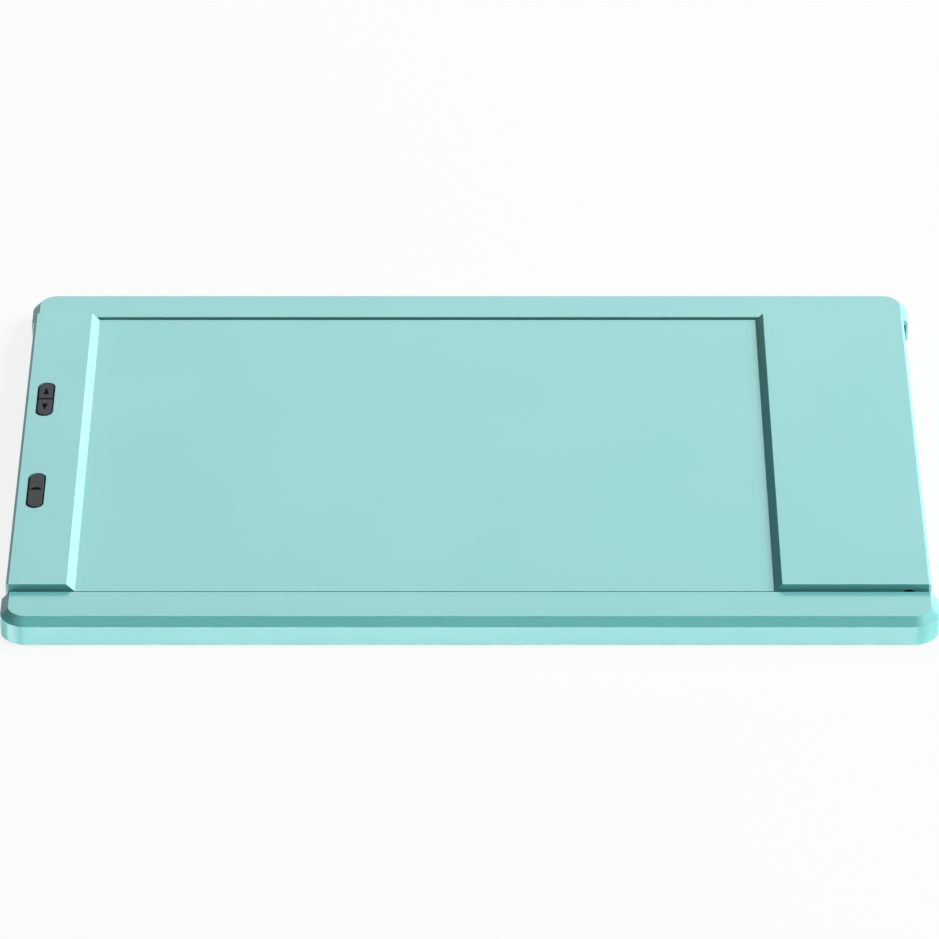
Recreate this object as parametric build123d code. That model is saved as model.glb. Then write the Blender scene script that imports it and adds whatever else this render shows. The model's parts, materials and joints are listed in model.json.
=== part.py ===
"""A slide-out second screen for a laptop, in millimetres.

Closed, it lies on its back plate: X runs along the rails, the monitor slides out towards -X, Y runs
from the near rail to the far rail and Z points up. The origin is the middle of the underside.
"""

from build123d import *
import os

os.makedirs("parts", exist_ok=True)

# Frame
frame_length = 330.8
frame_depth = 235.0
rail_width = 19.0
rail_height = 10.25
rail_chamfer = 2.85
rail_corner_radius = 9.5
rail_wall = 1.6
rail_roof = 1.2
rail_end_wall = 0.9
rail_skin = 1.4
base_thickness = 1.0
base_fit = 0.1
web_corner_radius = 3.0

# Slide channel inside each rail
channel_depth = 9.9
track_wall = 1.0
liner_thickness = 0.6
lip_height = 2.5
bumper_thickness = 2.2
running_gap = 0.3

# Rail fasteners and magnets
rail_screw_count = 6
rail_screw_end_distance = 17.0
boss_radius = 2.4
rail_screw_radius = 0.9
rail_screw_head_radius = 1.8
rail_screw_head_height = 0.7
rail_screw_depth = 6.0
rail_magnet_length = 30.0
rail_magnet_width = 5.0
rail_magnet_height = 3.0

# Monitor body
monitor_side_gap = 1.3
monitor_left_inset = 1.4
monitor_right_inset = 2.2
monitor_lift = 0.4
monitor_wall = 1.6
monitor_roof = 1.5
block_rise = 2.35
panel_drop = 0.55
strip_width = 21.5
block_width = 52.8
end_edge_break = 1.0
end_corner_break = 0.9
under_edge_break = 0.5
pocket_skin = 2.5
rib_width = 1.2
rib_offsets = (32.0, 78.0)
rib_end_gap = 4.0

# Display
bezel_thickness = 1.2
bezel_window_break = 0.8
glass_thickness = 1.2
backlight_thickness = 1.8
display_left_margin = 1.6
display_hinge_margin = 17.0
display_side_margin = 6.15
glass_border_x = 5.8
glass_border_y = 6.8
window_margin = 0.3

# Hinge
pivot_inset = 10.2
pin_radius = 1.5
pin_running_clearance = 0.05
pin_end_gap = 0.5
hinge_bore_radius = 3.35
barrel_radius = 3.8
barrel_recess = 1.9
barrel_length = 25.0
barrel_end_wall = 1.2
bracket_length = 25.0
bracket_width = 22.0
bracket_thickness = 1.2
bracket_screw_edge = 6.0
hinge_screw_radius = 1.0
hinge_screw_grip = 0.7
grub_radius = 1.25
grub_gap = 0.1
slider_edge_break = 0.5

# Latch
latch_x_inset = 23.7
latch_y_inset = 3.1
latch_radius = 2.75
latch_magnet_height = 2.5
latch_plate_radius = 4.0
latch_plate_thickness = 0.6
post_radius = 2.5

# Keys
key_inset = 7.3
brightness_y = 32.8
power_y = -32.7
key_slot_length = 24.6
key_slot_width = 6.5
key_side_gap = 0.6
key_split_gap = 1.0
key_proud = 0.2
key_edge_round = 0.3
key_flange_extra = 0.8
key_flange_height = 0.6
key_travel = 0.5
plunger_radius = 1.2
plunger_height = 0.25
mark_width = 2.3
mark_height = 4.8
mark_depth = 0.2
mark_offset = 5.8
scoop_radius = 2.0
scoop_tilt = 22.0

# Boards
button_board_width = 14.0
button_board_length = 106.0
button_board_gap = 0.8
board_thickness = 1.0
switch_size = 4.5
switch_height = 0.8
switch_gap = 0.1
stem_radius = 1.2
board_screw_radius = 0.8
board_screw_head_radius = 1.5
board_screw_grip = 0.7
screw_head_height = 0.6
board_boss_radius = 2.2
button_screw_edge = 4.0
driver_board_length = 43.0
driver_board_width = 116.0
driver_board_drop = 0.55
driver_board_end_gap = 4.8
driver_screw_edge = 4.0
chip_gap = 6.0
scaler_size = 14.0
scaler_height = 1.4
memory_length = 9.0
memory_width = 7.0
memory_height = 1.1
inductor_size = 6.0
inductor_height = 2.6
inductor_gap = 3.0
connector_length = 5.0
connector_width = 20.0
connector_height = 2.0

# USB-C ports
port_width = 8.94
port_height = 3.26
port_length = 7.35
port_wall = 0.3
port_cavity_depth = 6.2
port_offset = 12.0
tongue_width = 6.7
tongue_thickness = 0.7
tongue_length = 5.0
port_fit = 0.1

# Flat cables
cable_thickness = 0.3
ribbon_width = 12.0
ribbon_y = 14.0
panel_cable_width = 16.0
panel_cable_gap = 0.5
cable_landing = 8.0
cable_rise = 5.0

# Derived frame sizes
frame_end = frame_length / 2
rail_outer = frame_depth / 2
rail_inner = rail_outer - rail_width
channel_end = frame_end - rail_end_wall
channel_top = rail_height - rail_roof
cavity_chamfer = rail_chamfer + rail_skin * 2**0.5 - rail_roof
track_end = frame_end - cavity_chamfer
track_back = rail_inner + channel_depth + track_wall
liner_back = track_back - track_wall
slider_back = liner_back - liner_thickness - running_gap
slider_front = rail_inner + track_wall + running_gap
slider_bottom = base_thickness + track_wall + liner_thickness + running_gap
slider_top = channel_top - running_gap
boss_y = (track_back + rail_outer - rail_wall) / 2

# Derived monitor sizes
monitor_left = monitor_left_inset - frame_end
monitor_right = frame_end - monitor_right_inset
monitor_side = rail_inner - monitor_side_gap
monitor_bottom = base_thickness + monitor_lift
block_top = rail_height + block_rise
panel_top = rail_height - panel_drop
bevel = block_top - panel_top
strip_edge = monitor_left + strip_width
block_edge = monitor_right - block_width
inner_left = monitor_left + monitor_wall
inner_right = monitor_right - monitor_wall
inner_side = monitor_side - monitor_wall
roof_inside = block_top - monitor_roof
panel_inside = panel_top - monitor_roof
bezel_top = monitor_bottom + bezel_thickness
glass_top = bezel_top + glass_thickness
backlight_top = glass_top + backlight_thickness
display_left = inner_left + display_left_margin
display_right = inner_right - display_hinge_margin
display_side = inner_side - display_side_margin

# Derived hinge sizes: the pivot is at half the block's thickness, so the folded monitor lies back
# between the rails
pivot_x = frame_end - pivot_inset
pivot_z = (monitor_bottom + block_top) / 2
bumper_face = channel_end - bumper_thickness
slider_half = bumper_face - running_gap - pivot_x
barrel_front = monitor_side - barrel_recess
barrel_back = barrel_front - barrel_length
heel_reach = ((monitor_right - pivot_x) ** 2 + (block_top - pivot_z) ** 2) ** 0.5
heel_sweep = (heel_reach**2 - (pivot_z - base_thickness) ** 2) ** 0.5
web_end = pivot_x - heel_sweep - 2 * running_gap

# Derived key and board sizes
key_x = monitor_left + key_inset
key_top = block_top + key_proud
key_flange_top = roof_inside - running_gap
key_flange_bottom = key_flange_top - key_flange_height
plunger_bottom = key_flange_bottom - plunger_height
stem_top = plunger_bottom - key_travel - switch_gap
switch_top = stem_top - running_gap
button_board_top = switch_top - switch_height
button_board_bottom = button_board_top - board_thickness
button_board_left = inner_left + button_board_gap
button_screw_x = button_board_left + button_board_width - button_screw_edge
button_screw_reach = button_board_length / 2 - button_screw_edge
button_screw_ys = (0.0, button_screw_reach, -button_screw_reach)
driver_board_top = roof_inside - driver_board_drop
driver_board_bottom = driver_board_top - board_thickness
driver_board_right = inner_right - driver_board_end_gap
driver_board_left = driver_board_right - driver_board_length
driver_screw_xs = (driver_board_left + driver_screw_edge, driver_board_right - driver_screw_edge)
driver_screw_y = driver_board_width / 2 - driver_screw_edge
strip_pocket = strip_edge + monitor_roof - pocket_skin
block_pocket = block_edge - monitor_roof + pocket_skin
panel_cable_turn = block_edge - pocket_skin
panel_cable_start = panel_cable_turn - cable_landing
panel_cable_end = driver_board_left + cable_rise + cable_landing / 2
panel_cable_y = board_screw_head_radius + panel_cable_gap + panel_cable_width / 2 - driver_screw_y
port_z = driver_board_bottom - port_height / 2
latch_x = monitor_left + latch_x_inset
latch_y = inner_side - latch_y_inset


def bar(x0, x1, y0, y1, z0, z1):
    """Box between two corners."""
    size = Box(abs(x1 - x0), abs(y1 - y0), abs(z1 - z0))
    return Pos((x0 + x1) / 2, (y0 + y1) / 2, (z0 + z1) / 2) * size


def rod_z(x, y, radius, z0, z1):
    """Upright cylinder."""
    return Pos(x, y, (z0 + z1) / 2) * Cylinder(radius, abs(z1 - z0))


def rod_y(x, z, radius, y0, y1):
    """Cylinder along Y."""
    return Pos(x, (y0 + y1) / 2, z) * Rot(X=90) * Cylinder(radius, abs(y1 - y0))


def pill(x, y, width, length, z0, z1):
    """Upright slab with round ends, long along Y."""
    outline = Rot(Z=90) * SlotOverall(length, width)
    return extrude(Pos(x, y, min(z0, z1)) * outline, abs(z1 - z0))


def group(solids):
    """Separate solids kept in one node."""
    return Compound(children=list(solids))


def flat_cable(points, y, width):
    """Ribbon whose underside follows the (x, z) points."""
    top = [(px, pz + cable_thickness) for px, pz in reversed(points)]
    outline = Polyline(*points, *top, close=True)
    face = Plane.XZ * make_face(outline)
    return Pos(0, y + width / 2, 0) * extrude(face, width)


def to_side(shape, side):
    """The near side's shape, turned over to the far side where side is +1."""
    return mirror(shape, Plane.XZ) if side > 0 else shape


# ---- frame ----


def rail_block(end, outer, inner, radius, height, cut):
    """Near rail outline with rounded outer corners and a 45 degree chamfer on its outer top edges."""
    body = bar(-end, end, -outer, -inner, 0, height)
    corners = body.edges().filter_by(Axis.Z).group_by(Axis.Y)[0]
    body = fillet(corners, radius)
    top = body.faces().sort_by(Axis.Z)[-1].edges()
    return chamfer([e for e in top if e.center().Y < -inner - 0.01], cut)


def rail_screw_xs():
    """Evenly spaced screw places along a rail."""
    span = frame_length - 2 * rail_screw_end_distance
    return [-span / 2 + i * span / (rail_screw_count - 1) for i in range(rail_screw_count)]


def channel_space():
    """Space inside the near rail for the slide channel, bevelled under the chamfered rail ends."""
    space = bar(-channel_end, channel_end, -track_back, rail_wall - rail_inner, 0, channel_top)
    ends = space.faces().sort_by(Axis.Z)[-1].edges().filter_by(Axis.Y)
    return chamfer(ends, cavity_chamfer - rail_end_wall)


def make_rail_cover(side):
    """Moulded cover of a rail: roof, outer wall and end walls, open below and towards the monitor."""
    cover = rail_block(frame_end, rail_outer, rail_inner, rail_corner_radius, rail_height, rail_chamfer)
    cavity = rail_block(
        frame_end - rail_wall,
        rail_outer - rail_wall,
        rail_inner - rail_width,
        rail_corner_radius - rail_wall,
        channel_top,
        cavity_chamfer - rail_wall,
    )
    cover = cover - cavity - channel_space()
    for x in rail_screw_xs():
        cover += rod_z(x, -boss_y, boss_radius, base_thickness, channel_top)
    for x in rail_screw_xs():
        cover -= rod_z(x, -boss_y, rail_screw_radius, 0, rail_screw_depth)
    return to_side(cover, side)


def make_base_plate():
    """Sheet that closes both rails from below and joins them, cut back where the heel swings."""
    edge = rail_wall + base_fit
    plate = bar(-web_end, web_end, -rail_inner, rail_inner, 0, base_thickness)
    for side in (-1, 1):
        strip = bar(edge - frame_end, frame_end - edge, edge - rail_outer, -rail_inner, 0, base_thickness)
        strip = fillet(strip.edges().filter_by(Axis.Z).group_by(Axis.Y)[0], rail_corner_radius - edge)
        plate += to_side(strip, side)
    inner = [e for e in plate.edges().filter_by(Axis.Z) if abs(abs(e.center().Y) - rail_inner) < 0.01]
    plate = fillet([e for e in inner if abs(e.center().X) < web_end + 0.01], web_corner_radius)
    for side in (-1, 1):
        for x in rail_screw_xs():
            plate -= rod_z(x, side * boss_y, rail_screw_radius, 0, base_thickness)
            plate -= screw_head(x, side * boss_y)
        pocket_floor = base_thickness - latch_plate_thickness
        plate -= rod_z(latch_x, side * latch_y, latch_plate_radius, pocket_floor, base_thickness)
    return plate


def screw_head(x, y):
    """Countersunk head flush with the underside."""
    cone = Cone(rail_screw_head_radius, rail_screw_radius, rail_screw_head_height)
    return Pos(x, y, rail_screw_head_height / 2) * cone


def make_base_screws(side):
    """Countersunk screws that hold the base plate to one rail cover."""
    shank = [rod_z(x, side * boss_y, rail_screw_radius, 0, rail_screw_depth) for x in rail_screw_xs()]
    return group([s + screw_head(x, side * boss_y) for s, x in zip(shank, rail_screw_xs())])


def make_track(side):
    """J-shaped slide track: floor, back wall and a lip that keeps the slider in."""
    floor_top = base_thickness + track_wall
    track = bar(-track_end, track_end, -track_back, -rail_inner, base_thickness, floor_top)
    track += bar(-track_end, track_end, -track_back, -liner_back, base_thickness, channel_top)
    lip_y = rail_inner + track_wall
    track += bar(-track_end, track_end, -lip_y, -rail_inner, base_thickness, floor_top + lip_height)
    return to_side(track, side)


def make_slide_liner(side):
    """Low-friction angle strip on the floor and back of the track."""
    floor = base_thickness + track_wall
    liner = bar(-track_end, track_end, -liner_back, -rail_inner - track_wall, floor, floor + liner_thickness)
    liner += bar(-track_end, track_end, -liner_back, liner_thickness - liner_back, floor, slider_top)
    return to_side(liner, side)


def make_end_bumpers():
    """Rubber stops at both ends of both channels."""
    stop = bar(bumper_face, channel_end, -slider_back, -slider_front, base_thickness, channel_top)
    stop = stop & channel_space()
    pair = [stop, mirror(stop, Plane.YZ)]
    return group([to_side(s, side) for s in pair for side in (-1, 1)])


def make_rail_magnets():
    """Bar magnets beside the outer walls that hold the frame to a laptop lid."""
    xs = rail_screw_xs()
    middles = [(xs[0] + xs[1]) / 2, (xs[-1] + xs[-2]) / 2]
    half = rail_magnet_length / 2
    y0 = boss_y - rail_magnet_width / 2
    y1 = boss_y + rail_magnet_width / 2
    top = base_thickness + rail_magnet_height
    bars = []
    for side in (-1, 1):
        for x in middles:
            bars.append(to_side(bar(x - half, x + half, -y1, -y0, base_thickness, top), side))
    return group(bars)


def make_latch_plates():
    """Steel discs flush in the base plate under the monitor's latch magnets."""
    bottom = base_thickness - latch_plate_thickness
    plates = [rod_z(latch_x, s * latch_y, latch_plate_radius, bottom, base_thickness) for s in (-1, 1)]
    return group(plates)


# ---- carriage ----


def make_slider(side):
    """Block that runs in the channel and holds the hinge pin."""
    x0 = pivot_x - slider_half
    x1 = pivot_x + slider_half
    block = bar(x0, x1, -slider_back, -slider_front, slider_bottom, slider_top)
    block = chamfer(block.edges().filter_by(Axis.Y), slider_edge_break)
    block -= rod_y(pivot_x, pivot_z, pin_radius, -slider_back, -slider_front)
    block -= rod_z(pivot_x, -(slider_back + slider_front) / 2, grub_radius, slider_bottom, pivot_z)
    return to_side(block, side)


def make_hinge_pin(side):
    """Steel pin from the slider into the monitor's friction barrel."""
    inner_tip = barrel_back + barrel_end_wall + pin_end_gap
    return to_side(rod_y(pivot_x, pivot_z, pin_radius, -slider_back, -inner_tip), side)


def make_grub_screws():
    """Set screws that lock each pin in its slider."""
    top = pivot_z - pin_radius - grub_gap
    y = (slider_back + slider_front) / 2
    return group([rod_z(pivot_x, s * y, grub_radius, slider_bottom, top) for s in (-1, 1)])


# ---- monitor ----


def raised_pad(edge_x, foot_x, end_x):
    """Raised pad over the monitor's whole depth, with a 45 degree bevel down to the panel."""
    outline = [(edge_x, block_top), (end_x, block_top), (end_x, monitor_bottom), (foot_x, monitor_bottom)]
    face = Plane.XZ * make_face(Polyline(*outline, (foot_x, panel_top), close=True))
    return Pos(0, monitor_side, 0) * extrude(face, 2 * monitor_side)


def monitor_envelope():
    """Outside of the monitor: flat panel, raised strip at the left and raised block at the right."""
    body = bar(monitor_left, monitor_right, -monitor_side, monitor_side, monitor_bottom, panel_top)
    body += raised_pad(strip_edge, strip_edge + bevel, monitor_left)
    body += raised_pad(block_edge, block_edge - bevel, monitor_right)
    upright = body.edges().filter_by(Axis.Z).group_by(Axis.X)
    body = chamfer(upright[0] + upright[-1], end_corner_break)
    across = body.edges().filter_by(Axis.Y).group_by(Axis.Z)[-1].group_by(Axis.X)
    body = chamfer(across[0] + across[-1], end_edge_break)
    return chamfer(body.faces().sort_by(Axis.Z)[0].edges(), under_edge_break)


def key_slots():
    """Openings in the roof of the strip for the keys."""
    places = (brightness_y, power_y)
    return [pill(key_x, y, key_slot_width, key_slot_length, roof_inside - 1, key_top) for y in places]


def make_back_shell():
    """Moulded back of the monitor, open below, with ribs, bosses, key slots and hinge bores."""
    shell = monitor_envelope()
    shell -= bar(inner_left, inner_right, -inner_side, inner_side, 0, panel_inside)
    shell -= bar(inner_left, strip_pocket, -inner_side, inner_side, 0, roof_inside)
    shell -= bar(block_pocket, inner_right, -inner_side, inner_side, 0, roof_inside)
    for y in [s * offset for offset in rib_offsets for s in (-1, 1)]:
        x0 = strip_edge + rib_end_gap
        x1 = panel_cable_start - running_gap
        shell += bar(x0, x1, y - rib_width / 2, y + rib_width / 2, backlight_top, panel_inside)
    for y in button_screw_ys:
        shell += rod_z(button_screw_x, y, board_boss_radius, button_board_top, roof_inside)
    for x in driver_screw_xs:
        for side in (-1, 1):
            shell += rod_z(x, side * driver_screw_y, board_boss_radius, driver_board_top, roof_inside)
    for side in (-1, 1):
        magnet_top = bezel_top + latch_magnet_height
        shell += rod_z(latch_x, side * latch_y, post_radius, magnet_top, panel_inside)
    for slot in key_slots():
        shell -= slot
    for side in (-1, 1):
        bore = rod_y(pivot_x, pivot_z, hinge_bore_radius, -monitor_side - 1, -inner_side)
        shell -= to_side(bore, side)
        port_mouth = port_outline(side * port_offset, port_fit)
        shell -= extrude(Pos(inner_right - 1, 0, 0) * port_mouth, 2 * monitor_wall)
    for screw in button_screw_solids() + driver_screw_solids() + hinge_screw_solids():
        shell -= screw
    return shell


def make_front_bezel():
    """Flat frame around the display on the underside of the monitor."""
    bezel = bar(inner_left, inner_right, -inner_side, inner_side, monitor_bottom, bezel_top)
    x0 = display_left + glass_border_x - window_margin
    x1 = display_right - glass_border_x + window_margin
    y = display_side - glass_border_y + window_margin
    window = bar(x0, x1, -y, y, monitor_bottom, bezel_top)
    bezel -= window
    rim = bezel.faces().sort_by(Axis.Z)[0].inner_wires()[0].edges()
    return chamfer(rim, bezel_window_break)


def make_display_glass():
    """Display cell: two bonded glass sheets with their polarisers."""
    return bar(display_left, display_right, -display_side, display_side, bezel_top, glass_top)


def make_backlight():
    """Light guide, films and moulded tray behind the glass."""
    return bar(display_left, display_right, -display_side, display_side, glass_top, backlight_top)


def make_hinge(side):
    """Friction barrel and the bracket that screws it to the roof of the block."""
    barrel = rod_y(pivot_x, pivot_z, barrel_radius, -barrel_front, -barrel_back)
    y0 = -barrel_front + barrel_recess
    bracket_bottom = roof_inside - bracket_thickness
    bracket = bar(pivot_x - bracket_length, pivot_x, y0, y0 + bracket_width, bracket_bottom, roof_inside)
    hinge = barrel + bracket
    bore_back = -barrel_back - barrel_end_wall
    hinge -= rod_y(pivot_x, pivot_z, pin_radius + pin_running_clearance, -barrel_front, bore_back)
    for x, y in hinge_screw_places():
        hinge -= rod_z(x, y, hinge_screw_radius, bracket_bottom, roof_inside)
    return to_side(hinge, side)


def hinge_screw_places():
    """Screw places on the near bracket."""
    x = pivot_x - bracket_length + bracket_screw_edge
    y0 = -barrel_front + barrel_recess
    return [(x, y0 + bracket_screw_edge), (x, y0 + bracket_width - bracket_screw_edge)]


def hinge_screw_solids():
    """Screws from below through each bracket into the roof."""
    bottom = roof_inside - bracket_thickness
    screws = []
    for side in (-1, 1):
        for x, y in hinge_screw_places():
            screw = rod_z(x, y, hinge_screw_radius, bottom, roof_inside + hinge_screw_grip)
            screw += rod_z(x, y, 2 * hinge_screw_radius, bottom - screw_head_height, bottom)
            screws.append(to_side(screw, side))
    return screws


def board_screw(x, y, bottom):
    """Screw from below through a board into its boss."""
    screw = rod_z(x, y, board_screw_radius, bottom, roof_inside + board_screw_grip)
    return screw + rod_z(x, y, board_screw_head_radius, bottom - screw_head_height, bottom)


def button_screw_solids():
    """Screws of the button board."""
    return [board_screw(button_screw_x, y, button_board_bottom) for y in button_screw_ys]


def driver_screw_solids():
    """Screws of the driver board."""
    corners = [(x, side * driver_screw_y) for x in driver_screw_xs for side in (-1, 1)]
    return [board_screw(x, y, driver_board_bottom) for x, y in corners]


def make_latch_magnets():
    """Disc magnets on the bezel that hold the closed monitor to the base plate."""
    top = bezel_top + latch_magnet_height
    return group([rod_z(latch_x, s * latch_y, latch_radius, bezel_top, top) for s in (-1, 1)])


# ---- boards, ports and cables ----


def make_button_board():
    """Circuit board under the keys."""
    right = button_board_left + button_board_width
    half = button_board_length / 2
    board = bar(button_board_left, right, -half, half, button_board_bottom, button_board_top)
    for screw in button_screw_solids():
        board -= screw
    return board


def key_centres():
    """Middle of each key along Y: brightness up, brightness down and power."""
    quarter = key_slot_length / 4
    return {
        "brightness_up_key": brightness_y + quarter,
        "brightness_down_key": brightness_y - quarter,
        "power_key": power_y,
    }


def make_tact_switches():
    """Small switches on the button board, one under each key."""
    switches = []
    half = switch_size / 2
    for y in key_centres().values():
        case = bar(key_x - half, key_x + half, y - half, y + half, button_board_top, switch_top)
        switches.append(case + rod_z(key_x, y, stem_radius, switch_top, stem_top))
    return group(switches)


def make_driver_board():
    """Display controller board hung from the roof of the block."""
    half = driver_board_width / 2
    board = bar(driver_board_left, driver_board_right, -half, half, driver_board_bottom, driver_board_top)
    for screw in driver_screw_solids():
        board -= screw
    return board


def hung_chip(x, y, length, width, height):
    """Component soldered to the underside of the driver board."""
    bottom = driver_board_bottom - height
    return bar(x - length / 2, x + length / 2, y - width / 2, y + width / 2, bottom, driver_board_bottom)


def make_driver_chips():
    """Scaler, memory and two inductors in a row, and the connector where the panel cable ends."""
    middle = (driver_board_left + driver_board_right) / 2
    memory_y = scaler_size / 2 + chip_gap + memory_width / 2
    first_inductor_y = memory_y + memory_width / 2 + chip_gap + inductor_size / 2
    second_inductor_y = first_inductor_y + inductor_size + inductor_gap
    chips = [
        hung_chip(middle, 0, scaler_size, scaler_size, scaler_height),
        hung_chip(middle, memory_y, memory_length, memory_width, memory_height),
        hung_chip(middle, first_inductor_y, inductor_size, inductor_size, inductor_height),
        hung_chip(middle, second_inductor_y, inductor_size, inductor_size, inductor_height),
    ]
    connector_x = panel_cable_end + connector_length / 2
    chips.append(hung_chip(connector_x, panel_cable_y, connector_length, connector_width, connector_height))
    return group(chips)


def port_outline(y, extra):
    """USB-C outline on a plane across X, grown by extra all round."""
    sketch = SlotOverall(port_width + 2 * extra, port_height + 2 * extra)
    return Plane(origin=(0, y, port_z), x_dir=(0, 1, 0), z_dir=(1, 0, 0)) * sketch


def make_usb_ports():
    """USB-C receptacles hung under the driver board, mouths flush with the end wall."""
    ports = []
    back = monitor_right - port_length
    root = monitor_right - port_cavity_depth
    half = tongue_width / 2
    thin = tongue_thickness / 2
    for side in (-1, 1):
        y = side * port_offset
        case = extrude(Pos(back, 0, 0) * port_outline(y, 0), port_length)
        mouth = extrude(Pos(root, 0, 0) * port_outline(y, -port_wall), port_length)
        tongue = bar(root, root + tongue_length, y - half, y + half, port_z - thin, port_z + thin)
        ports.append(case - mouth + tongue)
    return group(ports)


def make_ribbon_cable():
    """Flat cable from the button board under the panel to the driver board."""
    low = button_board_bottom - cable_thickness
    high = driver_board_bottom - cable_thickness
    start = button_board_left + button_board_width - cable_landing
    turn = block_pocket + running_gap
    points = [
        (start, low),
        (turn, low),
        (turn + cable_rise, high),
        (turn + cable_rise + cable_landing / 2, high),
    ]
    return flat_cable(points, ribbon_y, ribbon_width)


def make_panel_cable():
    """Flat cable from the back of the display to the driver board."""
    high = driver_board_bottom - cable_thickness
    points = [
        (panel_cable_start, backlight_top),
        (panel_cable_turn, backlight_top),
        (driver_board_left + cable_rise, high),
        (panel_cable_end, high),
    ]
    return flat_cable(points, panel_cable_y, panel_cable_width)


# ---- keys ----


def key_body(y):
    """Whole pill-shaped key with its retaining flange."""
    width = key_slot_width - 2 * key_side_gap
    length = key_slot_length - 2 * key_side_gap
    key = pill(key_x, y, width, length, key_flange_bottom, key_top)
    key = fillet(key.faces().sort_by(Axis.Z)[-1].edges(), key_edge_round)
    flange_width = key_slot_width + 2 * key_flange_extra
    flange_length = key_slot_length + 2 * key_flange_extra
    return key + pill(key_x, y, flange_width, flange_length, key_flange_bottom, key_flange_top)


def plunger(y):
    """Stub under a key that presses its switch."""
    return rod_z(key_x, y, plunger_radius, plunger_bottom, key_flange_bottom)


def triangle_mark(y, tip):
    """Triangle pressed into a key top, tip towards +Y or -Y."""
    points = [(-mark_width / 2, 0), (mark_width / 2, 0), (0, tip * mark_height)]
    face = make_face(Polyline(*points, close=True))
    base_y = y - tip * mark_height / 2
    return extrude(Pos(key_x, base_y, key_top - mark_depth) * face, 2 * mark_depth)


def make_brightness_key(direction):
    """One half of the brightness pill, with its triangle."""
    reach = key_slot_length
    y0 = brightness_y + direction * key_split_gap / 2
    y1 = brightness_y + direction * reach
    half_space = bar(key_x - reach, key_x + reach, y0, y1, plunger_bottom, key_top)
    key = key_body(brightness_y) & half_space
    key += plunger(brightness_y + direction * key_slot_length / 4)
    return key - triangle_mark(brightness_y + direction * mark_offset, direction)


def make_power_key():
    """Power key with a nail scoop that deepens towards its far side."""
    key = key_body(power_y) + plunger(power_y)
    cutter = Pos(0, 0, scoop_radius) * Cylinder(scoop_radius, 2 * scoop_radius)
    return key - Pos(key_x, power_y, key_top) * Rot(X=-scoop_tilt) * cutter


nodes = {
    "base_plate": make_base_plate(),
    "end_bumpers": make_end_bumpers(),
    "rail_magnets": make_rail_magnets(),
    "latch_plates": make_latch_plates(),
    "pin_grub_screws": make_grub_screws(),
    "back_shell": make_back_shell(),
    "front_bezel": make_front_bezel(),
    "display_glass": make_display_glass(),
    "backlight_module": make_backlight(),
    "hinge_screws": group(hinge_screw_solids()),
    "button_board_screws": group(button_screw_solids()),
    "driver_board_screws": group(driver_screw_solids()),
    "latch_magnets": make_latch_magnets(),
    "button_board": make_button_board(),
    "tact_switches": make_tact_switches(),
    "driver_board": make_driver_board(),
    "driver_chips": make_driver_chips(),
    "usb_c_ports": make_usb_ports(),
    "ribbon_cable": make_ribbon_cable(),
    "panel_cable": make_panel_cable(),
    "brightness_up_key": make_brightness_key(1),
    "brightness_down_key": make_brightness_key(-1),
    "power_key": make_power_key(),
}
for name, side in (("near", -1), ("far", 1)):
    nodes[f"{name}_rail_cover"] = make_rail_cover(side)
    nodes[f"{name}_base_screws"] = make_base_screws(side)
    nodes[f"{name}_track"] = make_track(side)
    nodes[f"{name}_slide_liner"] = make_slide_liner(side)
    nodes[f"{name}_slider"] = make_slider(side)
    nodes[f"{name}_hinge_pin"] = make_hinge_pin(side)
    nodes[f"{name}_friction_hinge"] = make_hinge(side)

for node, shape in nodes.items():
    export_step(shape, f"parts/{node}.step")
print(f"{len(nodes)} nodes, slide travel {2 * pivot_x:.1f}, hinge axis at X {pivot_x:.1f} Z {pivot_z:.3f}")
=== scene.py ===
import bmesh
import bpy
import json
import math
from mathutils import Matrix, Vector


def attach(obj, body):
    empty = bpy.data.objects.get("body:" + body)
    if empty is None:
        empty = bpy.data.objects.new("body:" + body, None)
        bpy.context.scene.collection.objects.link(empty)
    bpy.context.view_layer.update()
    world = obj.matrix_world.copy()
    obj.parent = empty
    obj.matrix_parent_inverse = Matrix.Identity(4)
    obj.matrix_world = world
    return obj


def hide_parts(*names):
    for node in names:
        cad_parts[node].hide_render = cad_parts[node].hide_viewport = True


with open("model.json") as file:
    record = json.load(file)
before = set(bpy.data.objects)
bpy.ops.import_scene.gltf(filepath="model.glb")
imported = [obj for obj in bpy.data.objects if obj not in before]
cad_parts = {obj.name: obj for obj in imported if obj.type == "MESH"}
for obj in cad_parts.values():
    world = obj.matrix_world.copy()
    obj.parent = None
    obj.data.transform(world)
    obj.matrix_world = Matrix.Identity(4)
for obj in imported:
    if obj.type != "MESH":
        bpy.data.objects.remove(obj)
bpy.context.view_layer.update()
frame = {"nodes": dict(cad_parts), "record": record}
nodes = frame["nodes"]
scene = bpy.context.scene
print("frame loaded:", len(nodes), "nodes")


def mm(value):
    return value / 1000.0


def perMm(size):  # texture scale for a feature of this many millimetres
    return 1000.0 / size


def hexColour(code):  # sRGB hex to the linear colour that the shaders take
    parts = [int(code[i:i + 2], 16) / 255.0 for i in (1, 3, 5)]
    return [p / 12.92 if p <= 0.04045 else ((p + 0.055) / 1.055) ** 2.4 for p in parts] + [1.0]


def addNode(tree, kind, settings=None, links=None):
    node = tree.nodes.new(kind)
    for name, value in (settings or {}).items():
        if isinstance(name, str) and hasattr(node, name):
            setattr(node, name, value)
        else:
            node.inputs[name].default_value = value
    for name, source in (links or {}).items():
        tree.links.new(source, node.inputs[name])
    return node


mixShare, mixFirst, mixSecond, mixResult = 0, 6, 7, 2  # places of the Mix node's colour sockets


def startMaterial(name, settings):
    material = bpy.data.materials.new(name)
    material.use_nodes = True
    shader = material.node_tree.nodes["Principled BSDF"]
    for socket, value in settings.items():
        shader.inputs[socket].default_value = value
    return material, material.node_tree, shader


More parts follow.
